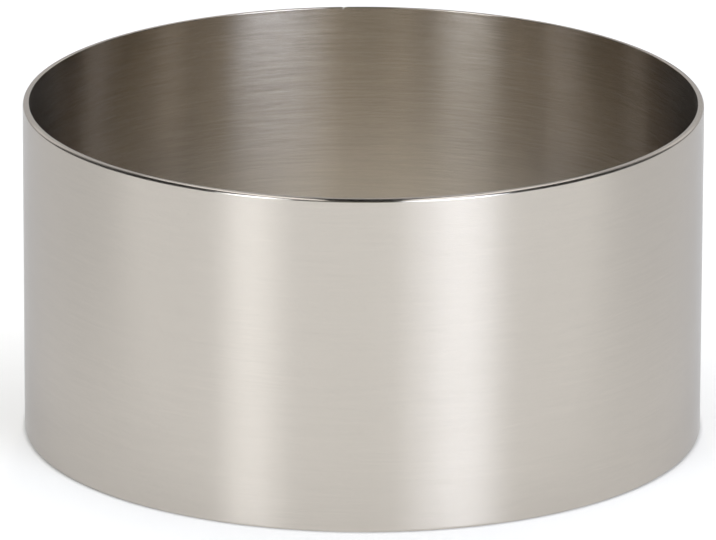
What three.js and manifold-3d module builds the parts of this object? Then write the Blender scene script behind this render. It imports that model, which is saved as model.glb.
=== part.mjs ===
// A round food ring: one strip of stainless sheet, rolled into a hoop and closed by a butt weld that is
// dressed flush. It is open at both ends. Millimetres, +Z up, standing on z = 0 with its axis on Z,
// its plain side towards -Y and its weld at the back, towards +Y.
import * as THREE from "three";
import { mergeVertices } from "three/addons/utils/BufferGeometryUtils.js";
import Module from "manifold-3d";

// Driving dimensions
const OUTER_DIAMETER = 80;
const HEIGHT = 40;
const SHEET_THICKNESS = 0.75;
const OUTER_EDGE_RADIUS = 0.4; // the edge a hand meets, ground well round
const INNER_EDGE_RADIUS = 0.1; // the edge that cuts, only deburred
const WELD_CAP_WIDTH = 2.0; // across the weld on the outer face, where the torch ran
const WELD_ROOT_WIDTH = 1.2; // across the weld on the inner face

// Limits and facet counts
const LARGEST_EDGE_SHARE = 0.8; // of the sheet, so that two rounded edges leave a flat land between them
const CUT_OVERRUN = 0.2; // how far a cutter runs past the face that it cuts
const HOOP_FACETS = 144;
const EDGE_FACETS = 4; // an even count, for each quarter round

const outerRadius = OUTER_DIAMETER / 2;
const innerRadius = outerRadius - SHEET_THICKNESS;
const edgeRoom = (SHEET_THICKNESS * LARGEST_EDGE_SHARE) / (OUTER_EDGE_RADIUS + INNER_EDGE_RADIUS);
const outerEdge = OUTER_EDGE_RADIUS * Math.min(1, edgeRoom);
const innerEdge = INNER_EDGE_RADIUS * Math.min(1, edgeRoom);

const wasm = await Module();
wasm.setup();

// A closed three.js geometry as a solid that can be cut.
function solidOf(geometry) {
  const bare = geometry.clone();
  bare.deleteAttribute("normal");
  bare.deleteAttribute("uv");
  const merged = mergeVertices(bare);
  return new wasm.Manifold(
    new wasm.Mesh({
      numProp: 3,
      vertProperties: new Float32Array(merged.attributes.position.array),
      triVerts: new Uint32Array(merged.index.array),
    }),
  );
}

// A cut solid as a geometry again.
function geometryOf(solid) {
  const { vertProperties, triVerts } = solid.getMesh();
  const geometry = new THREE.BufferGeometry();
  geometry.setAttribute("position", new THREE.BufferAttribute(vertProperties, 3));
  geometry.setIndex(new THREE.BufferAttribute(triVerts, 1));
  geometry.computeVertexNormals();
  return geometry;
}

// The strip's section, radius against height: flat rims with every edge rounded, walked outer wall upwards.
function stripSection() {
  const bottomOuter = [outerRadius - outerEdge, outerEdge];
  const topOuter = [outerRadius - outerEdge, HEIGHT - outerEdge];
  const topInner = [innerRadius + innerEdge, HEIGHT - innerEdge];
  const bottomInner = [innerRadius + innerEdge, innerEdge];
  const section = new THREE.Path();
  section.moveTo(bottomInner[0], 0);
  section.lineTo(bottomOuter[0], 0);
  section.absarc(...bottomOuter, outerEdge, -Math.PI / 2, 0);
  section.absarc(...topOuter, outerEdge, 0, Math.PI / 2);
  section.absarc(...topInner, innerEdge, Math.PI / 2, Math.PI);
  section.absarc(...bottomInner, innerEdge, Math.PI, 1.5 * Math.PI);
  return section.getPoints(EDGE_FACETS / 2); // a path gives a round stretch twice this many steps
}

// The whole hoop before its seam is parted from it, turned so that its axis is Z.
function hoop() {
  const profile = stripSection();
  profile[profile.length - 1] = profile[0].clone();
  const geometry = new THREE.LatheGeometry(profile, HOOP_FACETS);
  geometry.rotateX(Math.PI / 2);
  return solidOf(geometry);
}

// The fused zone of the butt weld as an upright wedge through the wall at +Y: as wide as the cap at the
// outer face and as the root at the inner face.
function seamZone() {
  const flare = (WELD_CAP_WIDTH - WELD_ROOT_WIDTH) / 2 / SHEET_THICKNESS;
  const halfWidthAt = (radius) => WELD_ROOT_WIDTH / 2 + flare * (radius - innerRadius);
  const near = innerRadius - CUT_OVERRUN;
  const far = outerRadius + CUT_OVERRUN;
  const outline = new THREE.Shape([
    new THREE.Vector2(-halfWidthAt(near), near),
    new THREE.Vector2(halfWidthAt(near), near),
    new THREE.Vector2(halfWidthAt(far), far),
    new THREE.Vector2(-halfWidthAt(far), far),
  ]);
  const depth = HEIGHT + 2 * CUT_OVERRUN;
  const geometry = new THREE.ExtrudeGeometry(outline, { depth, bevelEnabled: false });
  geometry.translate(0, 0, -CUT_OVERRUN);
  return solidOf(geometry);
}

const satinSteel = new THREE.MeshStandardMaterial({ color: 0xc6c1b8, roughness: 0.32, metalness: 1 });
const weldSteel = new THREE.MeshStandardMaterial({ color: 0xbab4aa, roughness: 0.4, metalness: 1 });

function piece(name, solid, material) {
  const mesh = new THREE.Mesh(geometryOf(solid), material);
  mesh.name = name;
  return mesh;
}

const wholeHoop = hoop();
const seam = seamZone();
const foodRing = new THREE.Group();
foodRing.add(piece("ring_band", wholeHoop.subtract(seam), satinSteel));
foodRing.add(piece("weld_seam", wholeHoop.intersect(seam), weldSteel));

export default foodRing;
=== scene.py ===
"""A food ring: a strip of satin stainless sheet, rolled into a hoop and closed by a dressed butt weld."""
import math

import bpy
from mathutils import Matrix, Vector


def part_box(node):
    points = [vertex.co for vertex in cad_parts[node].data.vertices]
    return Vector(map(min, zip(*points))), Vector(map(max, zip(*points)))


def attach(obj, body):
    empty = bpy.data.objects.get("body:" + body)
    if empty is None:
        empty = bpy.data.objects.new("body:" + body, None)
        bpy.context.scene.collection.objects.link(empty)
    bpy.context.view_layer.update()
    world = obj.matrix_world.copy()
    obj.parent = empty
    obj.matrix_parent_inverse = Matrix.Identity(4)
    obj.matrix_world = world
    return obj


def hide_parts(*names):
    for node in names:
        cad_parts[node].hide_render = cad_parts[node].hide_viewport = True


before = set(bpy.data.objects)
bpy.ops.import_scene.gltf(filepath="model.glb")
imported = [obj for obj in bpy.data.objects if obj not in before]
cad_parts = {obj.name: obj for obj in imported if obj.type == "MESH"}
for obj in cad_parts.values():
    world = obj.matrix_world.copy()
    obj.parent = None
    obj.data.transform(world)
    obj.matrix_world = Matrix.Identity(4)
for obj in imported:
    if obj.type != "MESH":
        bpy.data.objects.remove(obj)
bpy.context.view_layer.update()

# Sizes of the ring, in metres
MM = 0.001
BAND_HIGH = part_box("ring_band")[1]
WELD_LOW, WELD_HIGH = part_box("weld_seam")
OUTER_RADIUS = BAND_HIGH.x
HEIGHT = BAND_HIGH.z
SHEET = 0.75 * MM
INNER_RADIUS = OUTER_RADIUS - SHEET
MID_RADIUS = OUTER_RADIUS - SHEET / 2
OUTER_EDGE = 0.4 * MM
INNER_EDGE = 0.1 * MM
WELD_CAP = WELD_HIGH.x - WELD_LOW.x
WELD_ROOT = 1.2 * MM

# The weld's top end, which is sunk a little at the seam's middle
WELD_DIP_DEPTH = 0.11 * MM
WELD_DIP_HALF_WIDTH = 0.24 * MM
WELD_DIP_REACH = 0.3 * MM

# How finely the ring is turned
EDGE_STEPS = 10
WALL_STEPS = 16
BAND_STEPS = 1080
WELD_STEPS = 48

# The photograph's camera: angles in degrees, the picture in pixels
PHOTO_WIDTH, PHOTO_HEIGHT = 716, 540
RING_MIDDLE_PX = (362.9, 262.3)
PX_PER_RADIUS = 339.0
CAMERA_AZIMUTH = -3.4
CAMERA_ELEVATION = 17.5
CAMERA_ROLL = 0.18
CAMERA_DISTANCE = 30 * OUTER_RADIUS
SENSOR_WIDTH = 36.0

# The steel
STEEL = (0.612, 0.560, 0.500)
STEEL_EDGE_TINT = (0.84, 0.84, 0.86, 1)
BAND_TONE, WELD_TONE = 1.0, 0.98
STEEL_ANISOTROPY = 1.0
ACROSS_THE_BRUSHING = 0.25
SMOOTH_ROUGHNESS = 0.13
SCRATCHED_OUTSIDE, SCRATCHED_INSIDE = 0.38, 0.32

# The rims, which are smoother; the fade is in shares of the outer edge's round
RIM_ROUGHNESS_SHARE = 0.88
RIM_FADE_START, RIM_FADE_END = 0.7, 1.2

# The brushing: each set of lines has a width, a length and its own start in the noise
FINE_LINES = {"Line Width": 0.17 * MM, "Line Length": 6 * MM, "Start": 0.0}
BROAD_LINES = {"Line Width": 0.34 * MM, "Line Length": 13 * MM, "Start": 40.0}
HAIR_LINES = {"Line Width": 0.001 * MM, "Line Length": 0.02 * MM, "Start": 80.0}
FINE_SHARE, BROAD_SHARE = 0.7, 0.3
LINE_DETAIL, LINE_DETAIL_SHARE = 2.0, 0.6
NOISE_MIDDLE = 0.5
OUTSIDE_BRUSHING = 0.6
LINE_SWING = 0.2
LINE_CONTRAST = 0.06
LINE_DEPTH = 0.004 * MM
LINES_IN_SCRATCHES = 0.115
FEWEST_SCRATCHES, MOST_SCRATCHES = 0.51, 0.57

# The pits
PITS = {"Cell": 2.2 * MM, "Pit Radius": 0.12 * MM, "Share": 0.05}
PIT_CURVE = 0.5
PIT_TONE = 0.8
PIT_ROUGHNESS = 0.1

# The white table and the room: radiances are in units of the white that the picture ends at
TABLE_HALF_SIZE = 2.0
TABLE_WHITE = (0.9, 0.9, 0.89, 1)
# Painted contact shade: the camera's glow on the table is lower by the ring than away from it, and rises
# over the reach below
TABLE_GLOW_IN_PAINTED_SHADE, TABLE_GLOW_AWAY = 0.45, 0.59
CONTACT_SHADE = 18 * MM
# Painted contact shadow: the table's glow fades out to a dark line at the ring's base and is gone inside
# the ring, fully for the camera and in part in the steel
PAINTED_CONTACT_SHADOW_START, PAINTED_CONTACT_SHADOW_END = -0.35 * MM, 0.45 * MM
PAINTED_CONTACT_SHADOW_IN_STEEL = 0.6
# Painted reflection: the glow that the steel sees on the table is painted brighter in front of the ring
# than behind it, with painted shade near the ring, and tinted
NEAR_RING, PAINTED_SHADE_NEAR_RING_IN_STEEL = 40 * MM, 0.92
PAINTED_REFLECTION_BEHIND, PAINTED_REFLECTION_IN_FRONT = 0.323, 0.572
BEHIND_RING, IN_FRONT_OF_RING = -60 * MM, 45 * MM
FRONT_CURVE = 4.0
PAINTED_REFLECTION_TINT = (0.972, 1.0, 1.014, 1)
ROOM_WHITE = (1, 1, 1, 1)
ROOM_LIGHT = 0.01

# The soft lamps: azimuth, elevation, width and height in metres, radiance, colour, distance
PLAIN, WARM, AMBER = (1.0, 1.0, 1.0), (1.0, 1.0, 0.8), (1.1, 1.0, 0.78)
COOL, COOLER = (0.955, 1.0, 1.067), (0.92, 1.0, 1.165)
SOFT_LAMPS = {
    "left_softbox": (-37, 18, (0.84, 1.1), 2.1, COOL, 1.8),
    "left_softbox_core": (-37.6, 18, (0.5, 1.06), 2.1, COOL, 1.74),
    "left_overhead_softbox": (-90, 73.4, (3.6, 0.5), 1.55, PLAIN, 1.8),
    "right_softbox": (31, 18, (0.9, 0.85), 3.3, COOLER, 1.4),
    "right_softbox_core": (33.4, 18, (0.51, 0.82), 2.4, COOLER, 1.35),
    "right_overhead_softbox": (90, 71.6, (3.6, 0.55), 1.55, PLAIN, 1.8),
    "low_front_softbox": (0, 8, (1.3, 0.48), 0.45, WARM, 1.8),
    "lit_backdrop": (180, 23, (4.0, 1.6), 0.6, PLAIN, 1.8),
    "left_backdrop": (-138, 34, (1.3, 1.4), 0.25, PLAIN, 1.8),
    "right_backdrop": (138, 34, (1.3, 1.4), 0.3, PLAIN, 1.8),
}

# The spot that lights the table inside the ring
SPOT_AZIMUTH, SPOT_ELEVATION = 180, 65
SPOT_AIM_IN_FRONT = 14 * MM
SPOT_DISTANCE = 0.9
SPOT_RADIUS = 17 * MM
SPOT_WATTS = 11.0
SPOT_BEAM = 5.3
SPOT_SOFT_SHARE = 1.0


def facing(azimuth, elevation):
    """The direction from the ring to a place in the studio, round from the camera and above the table."""
    a = math.radians(CAMERA_AZIMUTH + azimuth)
    e = math.radians(elevation)
    return Vector((math.sin(a) * math.cos(e), -math.cos(a) * math.cos(e), math.sin(e)))


# The pieces
def wall_points(last, end_z):
    """Points along a straight wall, after its last point and before the height end_z."""
    r, z, nr, nz = last
    return [(r, z + (end_z - z) * i / WALL_STEPS, nr, nz) for i in range(1, WALL_STEPS)]


def edge_points(centre_r, centre_z, radius, start):
    """Points along a quarter round, from a start angle in degrees."""
    points = []
    for step in range(EDGE_STEPS + 1):
        angle = math.radians(start + 90 * step / EDGE_STEPS)
        nr, nz = math.cos(angle), math.sin(angle)
        points.append((centre_r + radius * nr, centre_z + radius * nz, nr, nz))
    return points


def strip_section():
    """The strip's section, outer wall upwards: radius, height, and the normal's radial and upward parts."""
    outer_centre, inner_centre = OUTER_RADIUS - OUTER_EDGE, INNER_RADIUS + INNER_EDGE
    section = edge_points(outer_centre, OUTER_EDGE, OUTER_EDGE, -90)
    section += wall_points(section[-1], HEIGHT - OUTER_EDGE)
    section += edge_points(outer_centre, HEIGHT - OUTER_EDGE, OUTER_EDGE, 0)
    section += edge_points(inner_centre, HEIGHT - INNER_EDGE, INNER_EDGE, 90)
    section.append((INNER_RADIUS, HEIGHT - WELD_DIP_REACH, -1.0, 0.0))
    section += wall_points(section[-1], INNER_EDGE)
    section += edge_points(inner_centre, INNER_EDGE, INNER_EDGE, 180)
    return section


def seam_half_angle(radius):
    """Half the angle that the weld takes up at a radius: its cap outside is wider than its root inside."""
    share = (radius - INNER_RADIUS) / SHEET
    return math.asin((WELD_ROOT + (WELD_CAP - WELD_ROOT) * share) / 2 / radius)


def level_end(along):
    """The rolled strip's rim isn't sunk anywhere: its depth and its slope are 0."""
    return 0.0, 0.0


def sunk_end(along):
    """The depth and slope of the weld's top end, at a distance along the rim from the seam's middle."""
    if abs(along) > WELD_DIP_HALF_WIDTH:
        return 0.0, 0.0
    turn = math.pi * along / WELD_DIP_HALF_WIDTH
    depth = WELD_DIP_DEPTH / 2 * (1 + math.cos(turn))
    slope = -WELD_DIP_DEPTH / 2 * math.pi / WELD_DIP_HALF_WIDTH * math.sin(turn)
    return depth, slope


def turned_strip(name, start_angle, end_angle, steps, top_end):
    """A closed length of the strip, turned about Z from one angle to another; both depend on the radius."""
    section = strip_section()
    count = len(section)
    verts, normals, faces, strip_places = [], [], [], []
    for i in range(steps + 1):
        for r, z, nr, nz in section:
            angle = start_angle(r) + (end_angle(r) - start_angle(r)) * i / steps
            outwards = Vector((math.sin(angle), math.cos(angle), 0))
            along = Vector((math.cos(angle), -math.sin(angle), 0))
            depth, slope = top_end(angle * r)
            share = max(0.0, 1 - (HEIGHT - z) / WELD_DIP_REACH)
            verts.append(outwards * r + Vector((0, 0, z - depth * share)))
            upwards = Vector((0, 0, 1)) + along * slope * share
            normals.append((outwards * nr + upwards * nz).normalized())
    for i in range(steps):
        for j in range(count):
            k = (j + 1) % count
            faces.append((i * count + j, i * count + k, (i + 1) * count + k, (i + 1) * count + j))
            strip_places.append(((i, j), (i, j + 1), (i + 1, j + 1), (i + 1, j)))
    ends = [tuple(range(count - 1, -1, -1)), tuple(steps * count + j for j in range(count))]
    mesh = bpy.data.meshes.new(name)
    mesh.from_pydata(verts, [], faces + ends)
    along_strip = mesh.uv_layers.new(name="strip")
    corner_normals = []
    for polygon in mesh.polygons:
        is_end = polygon.index >= len(faces)
        polygon.use_smooth = not is_end
        for vertex in polygon.vertices:
            corner_normals.append(polygon.normal.copy() if is_end else normals[vertex])
        if is_end:
            continue
        for loop, (u, v) in zip(polygon.loop_indices, strip_places[polygon.index]):
            along_strip.data[loop].uv = (u / steps, v / count)
    mesh.normals_split_custom_set(corner_normals)
    piece = bpy.data.objects.new(name, mesh)
    bpy.context.scene.collection.objects.link(piece)
    return piece


def rolled_band():
    return turned_strip(
        "rolled_band",
        seam_half_angle,
        lambda r: 2 * math.pi - seam_half_angle(r),
        BAND_STEPS,
        level_end,
    )


def dressed_weld():
    return turned_strip(
        "dressed_weld",
        lambda r: -seam_half_angle(r),
        seam_half_angle,
        WELD_STEPS,
        sunk_end,
    )


# Shader nodes
def node(tree, kind, inputs=(), **settings):
    """A new node. Each input is a plain value, or another node's output to link."""
    made = tree.nodes.new(kind)
    for name, value in settings.items():
        setattr(made, name, value)
    for key, value in dict(inputs).items():
        if isinstance(value, bpy.types.NodeSocket):
            tree.links.new(value, made.inputs[key])
        else:
            made.inputs[key].default_value = value
    return made


def maths(tree, operation, *values):
    """The output of a Math node."""
    return node(tree, "ShaderNodeMath", enumerate(values), operation=operation).outputs[0]


def product(tree, first, *others):
    """The output of a chain of Math nodes that multiplies all the values."""
    for value in others:
        first = maths(tree, "MULTIPLY", first, value)
    return first


def spread(tree, value, low, high, from_low=0.0, from_high=1.0):
    """The output of a Map Range node: from_low gives low and from_high gives high."""
    inputs = {
        "Value": value,
        "From Min": from_low,
        "From Max": from_high,
        "To Min": low,
        "To Max": high,
    }
    return node(tree, "ShaderNodeMapRange", inputs).outputs["Result"]


def new_group(name, inputs, output):
    """An empty group of shader nodes with number sockets, and its two end nodes."""
    group = bpy.data.node_groups.new(name, "ShaderNodeTree")
    for socket in inputs:
        group.interface.new_socket(socket, in_out="INPUT", socket_type="NodeSocketFloat")
    group.interface.new_socket(output, in_out="OUTPUT", socket_type="NodeSocketFloat")
    return group, group.nodes.new("NodeGroupInput").outputs, group.nodes.new("NodeGroupOutput").inputs


def placed(tree, group, inputs):
    """The output of a group that is placed in a material with its own values."""
    return node(tree, "ShaderNodeGroup", inputs, node_tree=group).outputs[0]


def ring_place(group):
    """Where a point of the ring is: its x, y and z, and its distance from the ring's axis."""
    place = node(group, "ShaderNodeTexCoord").outputs["Object"]
    x, y, z = node(group, "ShaderNodeSeparateXYZ", {0: place}).outputs
    flat = node(group, "ShaderNodeCombineXYZ", {0: x, 1: y})
    radius = node(group, "ShaderNodeVectorMath", {0: flat.outputs[0]}, operation="LENGTH")
    return x, y, z, radius.outputs["Value"]


def brushing_group():
    """Fine lines round the ring, stacked up the walls and nested across the rims; sizes in metres."""
    group, given, result = new_group("brushing", ("Line Width", "Line Length", "Start"), "Lines")
    x, y, z, radius = ring_place(group)
    across = maths(group, "DIVIDE", maths(group, "SUBTRACT", z, radius), given["Line Width"])
    lines_at = node(
        group,
        "ShaderNodeCombineXYZ",
        {
            0: maths(group, "DIVIDE", x, given["Line Length"]),
            1: maths(group, "DIVIDE", y, given["Line Length"]),
            2: maths(group, "ADD", across, given["Start"]),
        },
    )
    inputs = {
        "Vector": lines_at.outputs[0],
        "Scale": 1.0,
        "Detail": LINE_DETAIL,
        "Roughness": LINE_DETAIL_SHARE,
    }
    noise = node(group, "ShaderNodeTexNoise", inputs)
    group.links.new(noise.outputs["Fac"], result["Lines"])
    return group


def pits_group():
    """A mask of small pits, in a small share of the cells that the ring is parted into; sizes in metres."""
    group, given, result = new_group("pits", ("Cell", "Pit Radius", "Share"), "Pits")
    place = node(group, "ShaderNodeTexCoord").outputs["Object"]
    per_cell = maths(group, "DIVIDE", 1.0, given["Cell"])
    cells = node(group, "ShaderNodeTexVoronoi", {"Vector": place, "Scale": per_cell})
    distance = product(group, cells.outputs["Distance"], given["Cell"])
    depth = maths(group, "SUBTRACT", 1.0, maths(group, "DIVIDE", distance, given["Pit Radius"]))
    chance = node(group, "ShaderNodeSeparateColor", {0: cells.outputs["Color"]}).outputs[0]
    chosen = maths(group, "LESS_THAN", chance, given["Share"])
    pit = product(group, maths(group, "MAXIMUM", depth, 0.0), chosen)
    group.links.new(maths(group, "POWER", pit, PIT_CURVE), result["Pits"])
    return group


def rim_group():
    """A mask of both rims, with their rounded edges: 1 on the rims and 0 on the walls."""
    group, given, result = new_group("rims", ("Reach",), "Rim")
    place = node(group, "ShaderNodeTexCoord").outputs["Object"]
    z = node(group, "ShaderNodeSeparateXYZ", {0: place}).outputs["Z"]
    from_rim = maths(group, "MINIMUM", z, maths(group, "SUBTRACT", HEIGHT, z))
    beyond = maths(group, "DIVIDE", from_rim, given["Reach"])
    group.links.new(spread(group, beyond, 1.0, 0.0, RIM_FADE_START, RIM_FADE_END), result["Rim"])
    return group


def inside_group():
    """A mask of the ring's inner wall: 1 inside and 0 outside."""
    group, given, result = new_group("inside", ("Parting Radius",), "Inside")
    radius = ring_place(group)[3]
    group.links.new(maths(group, "LESS_THAN", radius, given["Parting Radius"]), result["Inside"])
    return group


# Materials
def new_material(name):
    material = bpy.data.materials.new(name)
    material.use_nodes = True
    return material, material.node_tree, material.node_tree.nodes["Principled BSDF"]


def brushed_steel(name, groups, tone):
    """Satin stainless steel that is brushed round the ring, with its rims burnished and a few pits."""
    material, tree, shader = new_material(name)
    brushing, pits, rims, insides = groups
    fine = placed(tree, brushing, FINE_LINES)
    broad = placed(tree, brushing, BROAD_LINES)
    hair = placed(tree, brushing, HAIR_LINES)
    pitted = placed(tree, pits, PITS)
    rim = placed(tree, rims, {"Reach": OUTER_EDGE})
    inside = placed(tree, insides, {"Parting Radius": MID_RADIUS})

    both = maths(tree, "ADD", product(tree, fine, FINE_SHARE), product(tree, broad, BROAD_SHARE))
    coarser = spread(tree, inside, OUTSIDE_BRUSHING, 1.0)
    lines = product(tree, maths(tree, "SUBTRACT", both, NOISE_MIDDLE), coarser)

    darkest, lightest = tone * (1 - LINE_CONTRAST), tone * (1 + LINE_CONTRAST)
    level = spread(tree, lines, darkest, lightest, -LINE_SWING, LINE_SWING)
    level = product(tree, level, spread(tree, pitted, 1.0, PIT_TONE))
    colour = node(tree, "ShaderNodeVectorMath", {0: STEEL, "Scale": level}, operation="SCALE")
    tree.links.new(colour.outputs[0], shader.inputs["Base Color"])

    scratches = maths(tree, "ADD", hair, product(tree, lines, LINES_IN_SCRATCHES))
    scratched = spread(tree, inside, SCRATCHED_OUTSIDE, SCRATCHED_INSIDE)
    rough = spread(tree, scratches, SMOOTH_ROUGHNESS, scratched, FEWEST_SCRATCHES, MOST_SCRATCHES)
    rough = product(tree, rough, spread(tree, rim, 1.0, RIM_ROUGHNESS_SHARE))
    rough = maths(tree, "ADD", rough, product(tree, pitted, PIT_ROUGHNESS))
    tree.links.new(rough, shader.inputs["Roughness"])

    height = maths(tree, "SUBTRACT", lines, pitted)
    bump = node(tree, "ShaderNodeBump", {"Height": height, "Distance": LINE_DEPTH, "Strength": 1.0})
    tree.links.new(bump.outputs[0], shader.inputs["Normal"])

    shader.inputs["Metallic"].default_value = 1.0
    shader.inputs["Specular Tint"].default_value = STEEL_EDGE_TINT
    shader.inputs["Anisotropic"].default_value = STEEL_ANISOTROPY
    shader.inputs["Anisotropic Rotation"].default_value = ACROSS_THE_BRUSHING
    tangent = node(tree, "ShaderNodeTangent", direction_type="UV_MAP", uv_map="strip")
    tree.links.new(tangent.outputs[0], shader.inputs["Tangent"])
    return material


def white_table_paper():
    """White paper that the camera, and the steel outside the ring, see a little brighter than it is lit.
    The camera's glow is lowered near the ring as painted contact shade, down to a painted dark contact line
    at the base, and is gone inside the ring; the glow that the steel sees is a painted reflection, brighter
    in front of the ring than behind it, with painted shade near the ring and none inside it.
    """
    material, tree, shader = new_material("white_table_paper")
    tree.nodes.remove(shader)
    place = node(tree, "ShaderNodeNewGeometry").outputs["Position"]
    radius = node(tree, "ShaderNodeVectorMath", {0: place}, operation="LENGTH").outputs["Value"]
    # Painted shade: the steel sees no glow on the table inside the ring
    outside = maths(tree, "GREATER_THAN", radius, MID_RADIUS)
    gap = maths(tree, "SUBTRACT", radius, OUTER_RADIUS)
    # Painted contact shadow: the glow fades to nothing at the ring's base and inside the ring
    painted_contact_shadow = spread(tree, gap, 0.0, 1.0, PAINTED_CONTACT_SHADOW_START, PAINTED_CONTACT_SHADOW_END)
    # Painted light: the glow that the steel sees rises from behind the ring to in front of it
    towards = node(tree, "ShaderNodeVectorMath", {0: place, 1: facing(0, 0)}, operation="DOT_PRODUCT")
    front = spread(tree, towards.outputs["Value"], 0.0, 1.0, BEHIND_RING, IN_FRONT_OF_RING)
    front = maths(tree, "POWER", front, FRONT_CURVE)

    path = node(tree, "ShaderNodeLightPath").outputs
    # Painted reflection of the table in the steel, lowered near the ring and behind it as painted shade
    painted_reflection_strength = product(
        tree,
        maths(tree, "MAXIMUM", path["Is Glossy Ray"], path["Is Transmission Ray"]),
        outside,
        spread(tree, painted_contact_shadow, PAINTED_CONTACT_SHADOW_IN_STEEL, 1.0),
        spread(tree, gap, PAINTED_SHADE_NEAR_RING_IN_STEEL, 1.0, 0.0, NEAR_RING),
        spread(tree, front, PAINTED_REFLECTION_BEHIND, PAINTED_REFLECTION_IN_FRONT),
    )
    # Painted contact shade: the camera's glow on the table is lowered near the ring
    away = spread(tree, gap, TABLE_GLOW_IN_PAINTED_SHADE, TABLE_GLOW_AWAY, 0.0, CONTACT_SHADE)
    camera_glow_with_painted_shade = product(tree, path["Is Camera Ray"], away, painted_contact_shadow)

    paper = node(tree, "ShaderNodeBsdfDiffuse", {"Color": TABLE_WHITE})
    glow = node(tree, "ShaderNodeEmission", {"Strength": camera_glow_with_painted_shade})
    painted_reflection = node(tree, "ShaderNodeEmission", {"Color": PAINTED_REFLECTION_TINT, "Strength": painted_reflection_strength})
    lit = node(tree, "ShaderNodeAddShader", {0: paper.outputs[0], 1: glow.outputs[0]})
    lit = node(tree, "ShaderNodeAddShader", {0: lit.outputs[0], 1: painted_reflection.outputs[0]})
    tree.links.new(lit.outputs[0], tree.nodes["Material Output"].inputs["Surface"])
    return material


# The studio
def white_table():
    half = TABLE_HALF_SIZE
    corners = [(-half, -half, 0), (half, -half, 0), (half, half, 0), (-half, half, 0)]
    mesh = bpy.data.meshes.new("white_table")
    mesh.from_pydata(corners, [], [(0, 1, 2, 3)])
    mesh.materials.append(white_table_paper())
    table = bpy.data.objects.new("white_table", mesh)
    bpy.context.scene.collection.objects.link(table)


def studio_room():
    """A dark room all round, which the camera sees as plain white."""
    world = bpy.data.worlds.new("studio_room")
    bpy.context.scene.world = world
    world.use_nodes = True
    tree = world.node_tree
    background = tree.nodes["Background"].inputs
    camera_ray = node(tree, "ShaderNodeLightPath").outputs["Is Camera Ray"]
    tree.links.new(maths(tree, "MAXIMUM", camera_ray, ROOM_LIGHT), background["Strength"])
    background["Color"].default_value = ROOM_WHITE


def hung_lamp(name, lamp, aim, azimuth, elevation, distance):
    """Hangs a lamp at its place in the studio and turns it to the point that it is aimed at."""
    hung = bpy.data.objects.new(name, lamp)
    bpy.context.scene.collection.objects.link(hung)
    away = facing(azimuth, elevation)
    hung.location = aim + away * distance
    hung.rotation_mode = "QUATERNION"
    hung.rotation_quaternion = away.to_track_quat("Z", "Y")
    return hung


def soft_lamp(name, azimuth, elevation, size, radiance, colour, distance):
    """An oval soft lamp that faces the ring and that the camera doesn't see."""
    lamp = bpy.data.lights.new(name, "AREA")
    lamp.shape = "ELLIPSE"
    lamp.size, lamp.size_y = size
    lamp.energy = radiance * math.pi * (math.pi / 4 * size[0] * size[1])
    lamp.color = colour
    hung = hung_lamp(name, lamp, Vector((0, 0, 0)), azimuth, elevation, distance)
    hung.visible_camera = False


def spot_inside():
    """A narrow spot from high behind the ring. It lights the table inside the ring, and not the steel."""
    lamp = bpy.data.lights.new("spot_inside", "SPOT")
    lamp.energy = SPOT_WATTS
    lamp.spot_size = math.radians(SPOT_BEAM)
    lamp.spot_blend = SPOT_SOFT_SHARE
    lamp.shadow_soft_size = SPOT_RADIUS
    lamp.color = AMBER
    aim = facing(0, 0) * SPOT_AIM_IN_FRONT
    hung = hung_lamp("spot_inside", lamp, aim, SPOT_AZIMUTH, SPOT_ELEVATION, SPOT_DISTANCE)
    hung.visible_glossy = False


def studio_lamps():
    for name, values in SOFT_LAMPS.items():
        soft_lamp(name, *values)
    spot_inside()


def photograph_camera():
    """It looks just past the ring, so that the ring's middle falls on its own pixel."""
    data = bpy.data.cameras.new("photograph_camera")
    focal_px = PX_PER_RADIUS * CAMERA_DISTANCE / OUTER_RADIUS
    data.sensor_width = SENSOR_WIDTH
    data.lens = focal_px * SENSOR_WIDTH / PHOTO_WIDTH
    camera = bpy.data.objects.new("photograph_camera", data)
    bpy.context.scene.collection.objects.link(camera)
    back = facing(0, CAMERA_ELEVATION)
    roll = Matrix.Rotation(math.radians(CAMERA_ROLL), 3, "Z")
    turn = back.to_track_quat("Z", "Y").to_matrix() @ roll
    metres_per_px = OUTER_RADIUS / PX_PER_RADIUS
    middle_x, middle_y = RING_MIDDLE_PX
    aside = Vector((PHOTO_WIDTH / 2 - middle_x, middle_y - PHOTO_HEIGHT / 2, 0)) * metres_per_px
    ring_middle = Vector((0, 0, HEIGHT / 2))
    place = Matrix.Translation(ring_middle + turn @ aside + back * CAMERA_DISTANCE)
    camera.matrix_world = place @ turn.to_4x4()
    bpy.context.scene.camera = camera


photograph_camera()
shared_groups = (brushing_group(), pits_group(), rim_group(), inside_group())
band, weld = rolled_band(), dressed_weld()
band.data.materials.append(brushed_steel("band_brushed_steel", shared_groups, BAND_TONE))
weld.data.materials.append(brushed_steel("weld_brushed_steel", shared_groups, WELD_TONE))
for piece, node_name, slot in (
    (band, "ring_band", "band_steel"),
    (weld, "weld_seam", "weld_steel"),
):
    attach(piece, "root")
    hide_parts(node_name)
white_table()
studio_room()
studio_lamps()
bpy.context.scene.view_settings.view_transform = "Standard"
